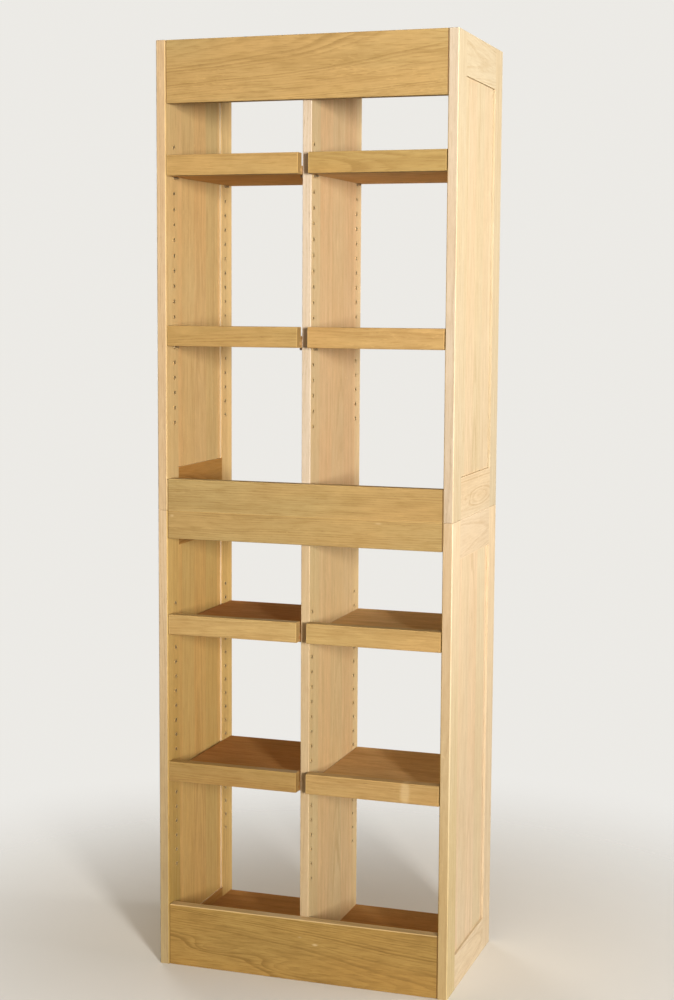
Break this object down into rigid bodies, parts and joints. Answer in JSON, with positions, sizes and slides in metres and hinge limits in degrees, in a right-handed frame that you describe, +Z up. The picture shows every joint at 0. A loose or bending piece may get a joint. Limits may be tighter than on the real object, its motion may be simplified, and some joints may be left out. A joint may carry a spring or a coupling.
{
  "type": "open bookcase",
  "caption": "Tall narrow stacked open bookcase in pale oak, with frame-and-panel sides, a centre divider, a deep plinth and adjustable lipped shelves on pegs.",
  "frame": {"origin": "middle of the footprint, on the floor", "axes": "+Z up, front towards -Y, +X to the right of someone facing the front"},
  "size_m": [0.605, 0.345, 1.845],
  "materials": {
    "oak": "satin clear lacquer over pale natural oak",
    "dowel_wood": "plain beech, unfinished",
    "steel": "nickel-plated steel"
  },
  "bodies": {
    "lower_unit": {"lower_left_front_stile": "oak", "lower_left_rear_stile": "oak", "lower_left_side_top_rail": "oak", "lower_left_side_bottom_rail": "oak", "lower_left_side_panel": "oak", "lower_right_front_stile": "oak", "lower_right_rear_stile": "oak", "lower_right_side_top_rail": "oak", "lower_right_side_bottom_rail": "oak", "lower_right_side_panel": "oak", "lower_divider": "oak", "lower_top_front_rail": "oak", "lower_bottom_front_rail": "oak", "lower_rear_rail": "oak", "lower_top_board": "oak", "lower_bottom_board": "oak", "lower_peg_sleeves": "steel", "lower_shelf_pegs": "steel", "lower_case_dowels": "dowel_wood", "stacking_dowels": "dowel_wood"},
    "upper_unit": {"upper_left_front_stile": "oak", "upper_left_rear_stile": "oak", "upper_left_side_top_rail": "oak", "upper_left_side_bottom_rail": "oak", "upper_left_side_panel": "oak", "upper_right_front_stile": "oak", "upper_right_rear_stile": "oak", "upper_right_side_top_rail": "oak", "upper_right_side_bottom_rail": "oak", "upper_right_side_panel": "oak", "upper_divider": "oak", "upper_top_front_rail": "oak", "upper_bottom_front_rail": "oak", "upper_rear_rail": "oak", "upper_top_board": "oak", "upper_bottom_board": "oak", "upper_peg_sleeves": "steel", "upper_shelf_pegs": "steel", "upper_case_dowels": "dowel_wood"},
    "shelf_1_left": {"shelf_1_left_board": "oak", "shelf_1_left_lip": "oak"},
    "shelf_1_right": {"shelf_1_right_board": "oak", "shelf_1_right_lip": "oak"},
    "shelf_2_left": {"shelf_2_left_board": "oak", "shelf_2_left_lip": "oak"},
    "shelf_2_right": {"shelf_2_right_board": "oak", "shelf_2_right_lip": "oak"},
    "shelf_3_left": {"shelf_3_left_board": "oak", "shelf_3_left_lip": "oak"},
    "shelf_3_right": {"shelf_3_right_board": "oak", "shelf_3_right_lip": "oak"},
    "shelf_4_left": {"shelf_4_left_board": "oak", "shelf_4_left_lip": "oak"},
    "shelf_4_right": {"shelf_4_right_board": "oak", "shelf_4_right_lip": "oak"}
  },
  "joints": [
    {"name": "upper_unit_lift", "type": "slide", "parent": "lower_unit", "child": "upper_unit", "axis": [0, 0, 1], "range_m": [0, 0.15]},
    {"name": "shelf_1_left_pull_out", "type": "slide", "parent": "upper_unit", "child": "shelf_1_left", "axis": [0, -1, 0], "range_m": [0, 0.36]},
    {"name": "shelf_1_right_pull_out", "type": "slide", "parent": "upper_unit", "child": "shelf_1_right", "axis": [0, -1, 0], "range_m": [0, 0.36]},
    {"name": "shelf_2_left_pull_out", "type": "slide", "parent": "upper_unit", "child": "shelf_2_left", "axis": [0, -1, 0], "range_m": [0, 0.36]},
    {"name": "shelf_2_right_pull_out", "type": "slide", "parent": "upper_unit", "child": "shelf_2_right", "axis": [0, -1, 0], "range_m": [0, 0.36]},
    {"name": "shelf_3_left_pull_out", "type": "slide", "parent": "lower_unit", "child": "shelf_3_left", "axis": [0, -1, 0], "range_m": [0, 0.36]},
    {"name": "shelf_3_right_pull_out", "type": "slide", "parent": "lower_unit", "child": "shelf_3_right", "axis": [0, -1, 0], "range_m": [0, 0.36]},
    {"name": "shelf_4_left_pull_out", "type": "slide", "parent": "lower_unit", "child": "shelf_4_left", "axis": [0, -1, 0], "range_m": [0, 0.36]},
    {"name": "shelf_4_right_pull_out", "type": "slide", "parent": "lower_unit", "child": "shelf_4_right", "axis": [0, -1, 0], "range_m": [0, 0.36]}
  ]
}
